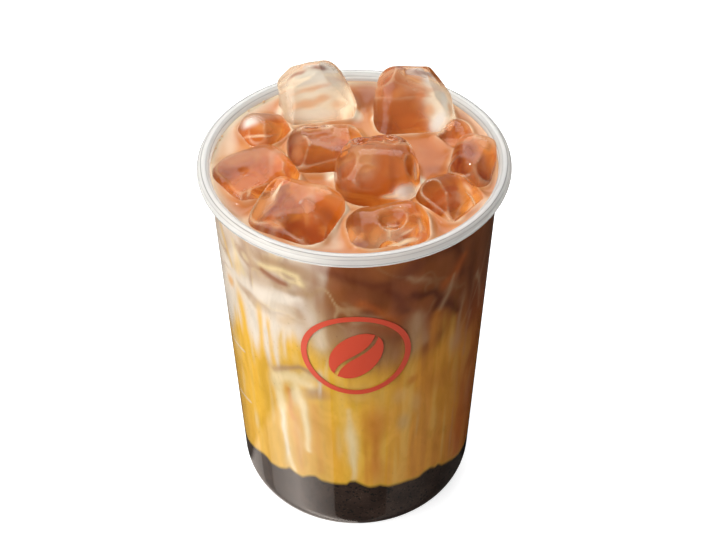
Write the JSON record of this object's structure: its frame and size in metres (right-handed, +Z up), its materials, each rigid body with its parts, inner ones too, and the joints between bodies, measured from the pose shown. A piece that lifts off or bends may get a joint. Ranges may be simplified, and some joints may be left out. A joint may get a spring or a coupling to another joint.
{
  "type": "iced butterscotch latte in a clear cup",
  "caption": "Iced butterscotch latte in a clear round-bottomed plastic cup: dark base layer, golden layer, milky coffee top, melting ice cubes standing above the drink.",
  "frame": {"origin": "on the table under the cup's axis, the centre of the bottom of the whole box", "axes": "+Z up along the cup's axis, -Y towards the front, +X to the right"},
  "size_m": [0.095, 0.095, 0.1438],
  "materials": {
    "clear_plastic": "clear polished plastic wall and rolled rim",
    "dark_base": "dark brown-grey, finely speckled, moist",
    "butterscotch": "golden yellow milk with pale vertical streaks",
    "latte": "milky coffee, lighter and creamier at the wall, smooth wet surface",
    "ice": "clear melting ice, wet and rounded"
  },
  "bodies": {
    "root": {"cup": "clear_plastic", "dark_base_layer": "dark_base", "butterscotch_layer": "butterscotch", "latte_layer": "latte", "ice_back_left": "ice", "ice_back_right": "ice", "ice_middle": "ice", "ice_left": "ice", "ice_front_left": "ice", "ice_front": "ice", "ice_front_right": "ice", "ice_right": "ice", "ice_left_small": "ice", "ice_middle_left": "ice", "ice_right_small": "ice"}
  },
  "joints": []
}
